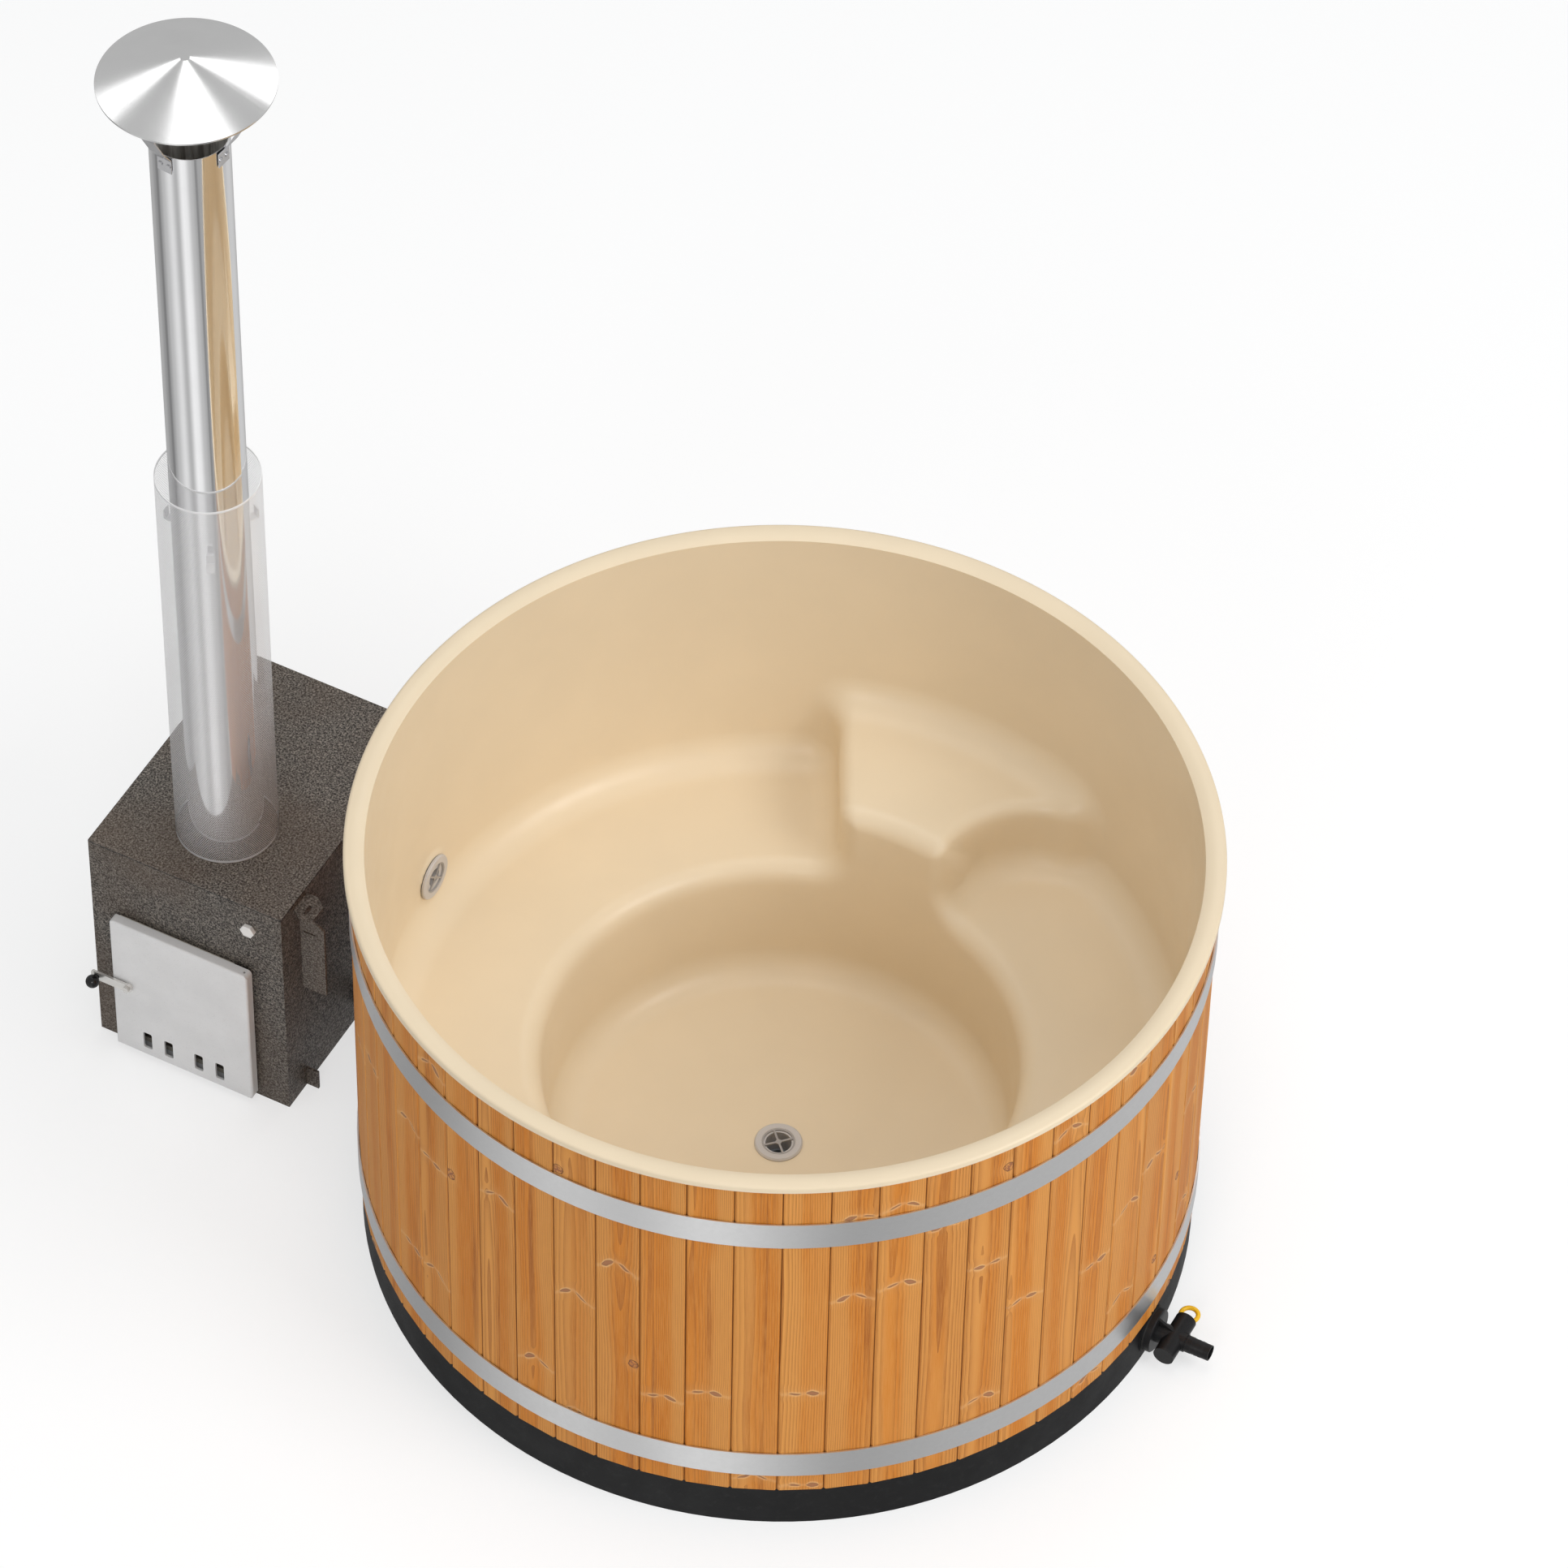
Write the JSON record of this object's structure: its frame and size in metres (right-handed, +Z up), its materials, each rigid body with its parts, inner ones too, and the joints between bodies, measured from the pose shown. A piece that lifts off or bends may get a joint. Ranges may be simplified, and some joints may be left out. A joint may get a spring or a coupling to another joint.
{
  "type": "wooden hot tub",
  "caption": "Round hot tub clad in wooden staves with a moulded bath, bench, step and drain valve, joined by hoses to an outside wood-fired water heater with a tall chimney",
  "frame": {"origin": "on the floor, on the tub's upright axis, at the middle of the base's underside", "axes": "+Z up; -X from the tub towards the heater; +X towards the drain valve; the heater's door faces -Y"},
  "size_m": [2.3565, 1.6989, 2.645],
  "materials": {
    "deck_black": "satin",
    "support_wood": "matte",
    "foam": "matte",
    "bath_plastic": "satin",
    "stave_wood": "satin",
    "hoop_steel": "satin",
    "bolt_steel": "satin",
    "fitting_grey": "satin",
    "grille_grey": "satin",
    "seal_rubber": "matte",
    "pipe_grey": "satin",
    "nut_black": "satin",
    "valve_black": "satin",
    "piston_grey": "satin",
    "ring_yellow": "gloss",
    "hose_rubber": "matte",
    "clamp_steel": "satin",
    "heater_paint": "satin",
    "boiler_steel": "matte",
    "grate_iron": "matte",
    "plug_metal": "satin",
    "flue_steel": "polished",
    "guard_steel": "satin",
    "cap_steel": "polished",
    "leg_steel": "satin",
    "door_cast": "satin",
    "door_rope": "matte",
    "shield_steel": "matte",
    "pin_steel": "satin",
    "lever_steel": "satin",
    "knob_black": "gloss"
  },
  "bodies": {
    "tub": {"base_tray": "deck_black", "supports": "support_wood", "insulation": "foam", "liner": "bath_plastic", "staves": "stave_wood", "upper_hoop": "hoop_steel", "lower_hoop": "hoop_steel", "hoop_bolts": "bolt_steel", "hoop_nuts": "bolt_steel", "strainer_body": "fitting_grey", "strainer_grille": "grille_grey", "strainer_gasket": "seal_rubber", "strainer_nut": "nut_black", "drain_tee": "pipe_grey", "drain_pipe": "pipe_grey", "suction_pipe": "pipe_grey", "valve_gasket": "seal_rubber", "valve_body": "valve_black", "valve_nut": "nut_black", "valve_end_cap": "valve_black", "suction_fitting": "valve_black", "suction_gasket": "seal_rubber", "suction_nut": "nut_black", "return_fitting": "fitting_grey", "return_grille": "grille_grey", "return_gasket": "seal_rubber", "return_nut": "nut_black", "upper_hose": "hose_rubber", "lower_hose": "hose_rubber", "hose_clamps": "clamp_steel", "clamp_screws": "clamp_steel", "heater_casing": "heater_paint", "heater_top": "heater_paint", "heater_base": "heater_paint", "firebox": "boiler_steel", "mouth_frame": "boiler_steel", "grate": "grate_iron", "heater_spigots": "boiler_steel", "flue_collar": "boiler_steel", "hex_plug": "plug_metal", "tool_hanger": "heater_paint", "anchor_tab": "heater_paint", "chimney_pipe": "flue_steel", "chimney_guard": "guard_steel", "guard_clips": "leg_steel", "cap_legs": "leg_steel", "cap_rivets": "leg_steel", "chimney_cap": "cap_steel", "hinge_lugs": "heater_paint"},
    "door": {"door": "door_cast", "door_gasket": "door_rope", "door_shield": "shield_steel", "hinge_pin": "pin_steel"},
    "latch": {"latch_lever": "lever_steel", "latch_spindle": "lever_steel", "latch_washer": "pin_steel", "ball_knob": "knob_black"},
    "piston": {"drain_piston": "piston_grey", "piston_rings": "seal_rubber", "pull_ring": "ring_yellow"}
  },
  "joints": [
    {"name": "door_hinge", "type": "hinge", "parent": "tub", "child": "door", "pos_m": [-1.037, -0.306, 0.2035], "axis": [0, 0, 1], "range_deg": [0, 100]},
    {"name": "latch_turn", "type": "hinge", "parent": "door", "child": "latch", "pos_m": [-1.305, -0.32, 0.212], "axis": [0, 1, 0], "range_deg": [0, 75]},
    {"name": "drain_slide", "type": "slide", "parent": "tub", "child": "piston", "axis": [0, 1, 0], "range_m": [0, 0.035]}
  ]
}
